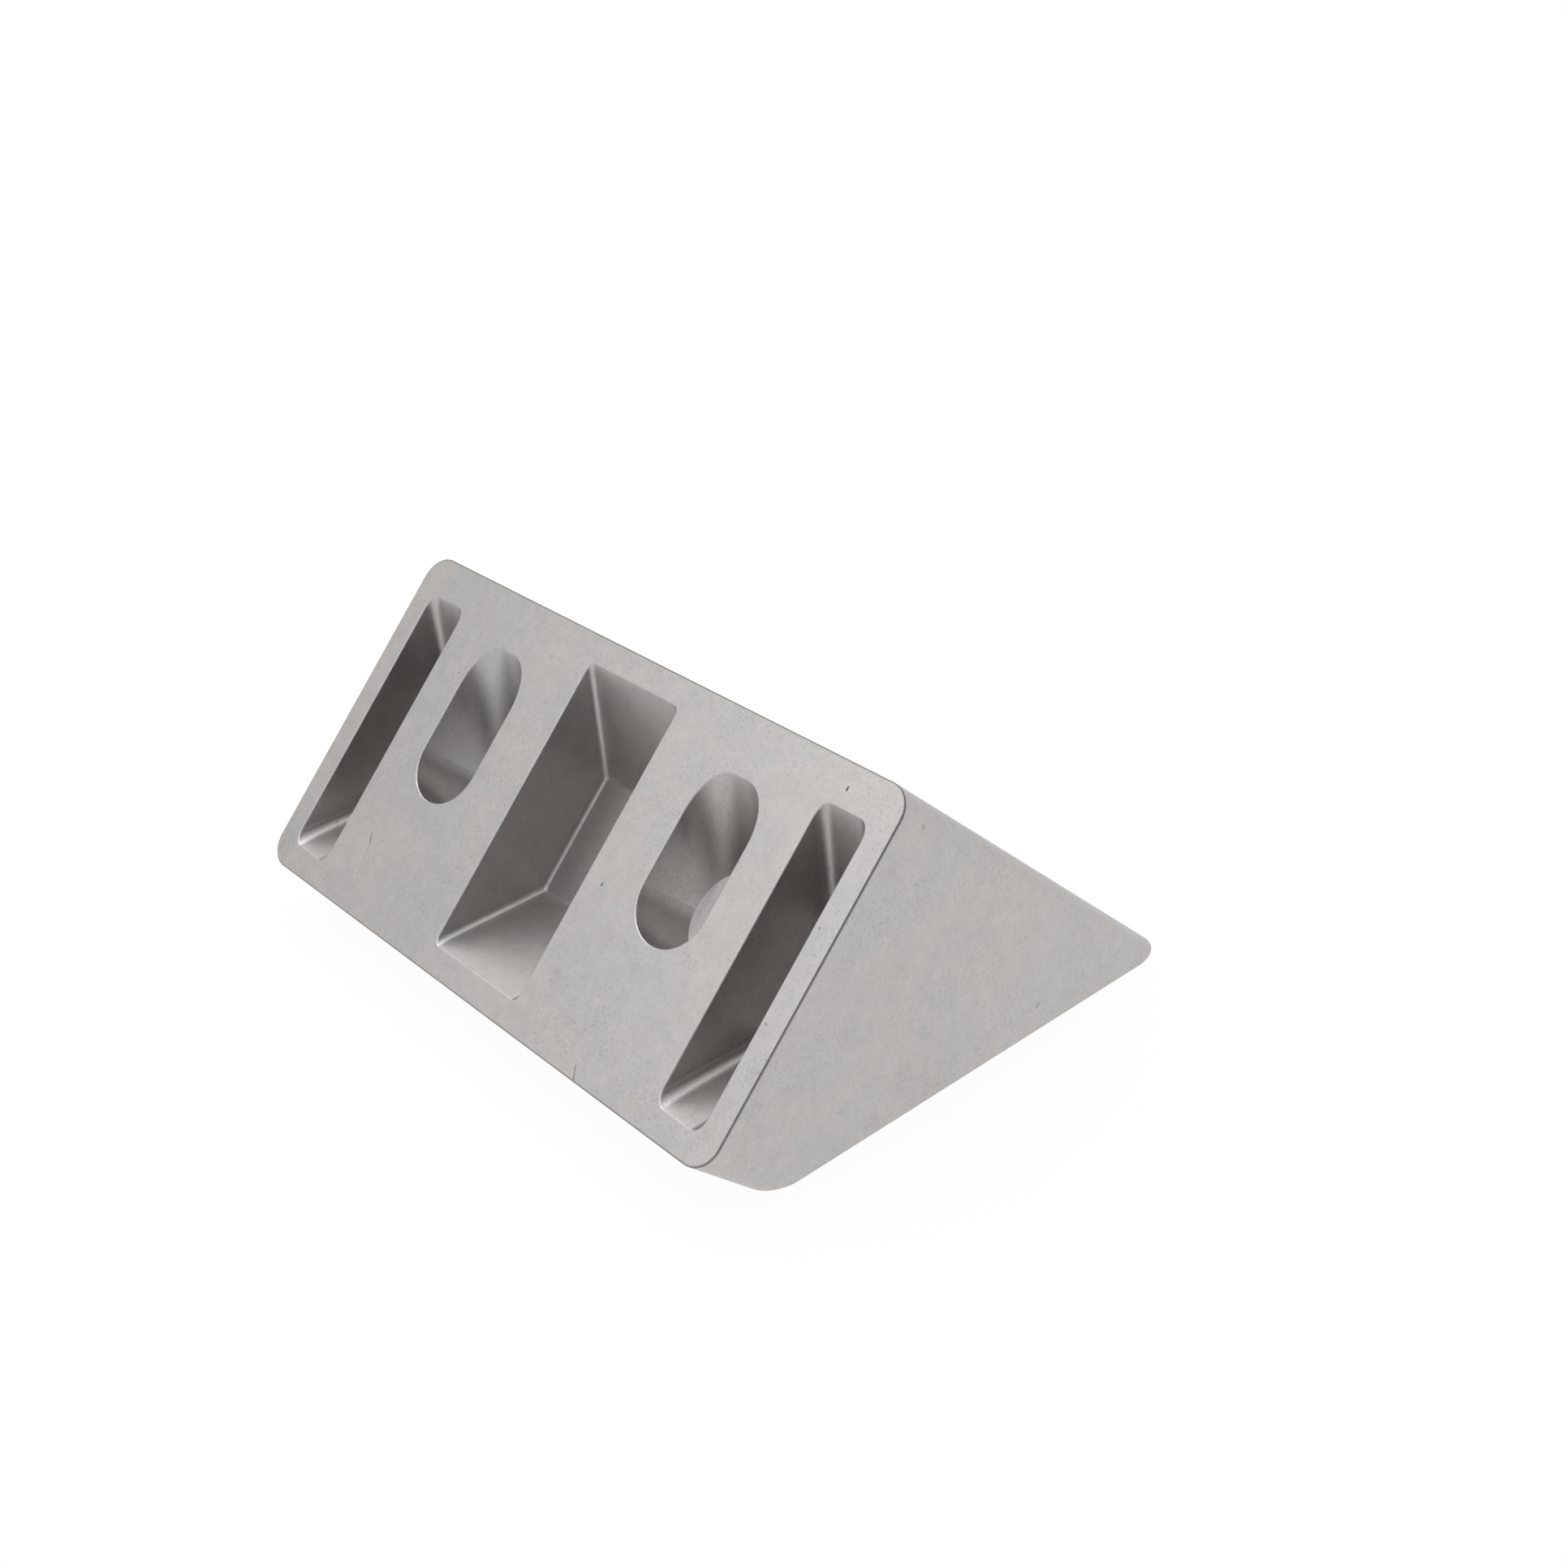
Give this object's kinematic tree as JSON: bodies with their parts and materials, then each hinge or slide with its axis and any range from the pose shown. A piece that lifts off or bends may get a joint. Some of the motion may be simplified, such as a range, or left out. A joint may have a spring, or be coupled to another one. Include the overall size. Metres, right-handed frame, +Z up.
{
  "type": "t-slot corner bracket",
  "caption": "Die-cast wedge that joins the end of a double-width T-slot rail to the side of another rail at 45 degrees, with screw slots and cored pockets in its end face.",
  "frame": {"origin": "centre of the flat underside that lies on the rail, in the plane of symmetry", "axes": "+X along the width of the bracket, +Z up from the underside, and the tilted end face looks towards -Y and +Z"},
  "size_m": [0.08, 0.0633, 0.0353],
  "materials": {
    "cast_metal": "bare die-cast, satin, slightly mottled with fine specks"
  },
  "bodies": {
    "root": {"bracket": "cast_metal"}
  },
  "joints": []
}
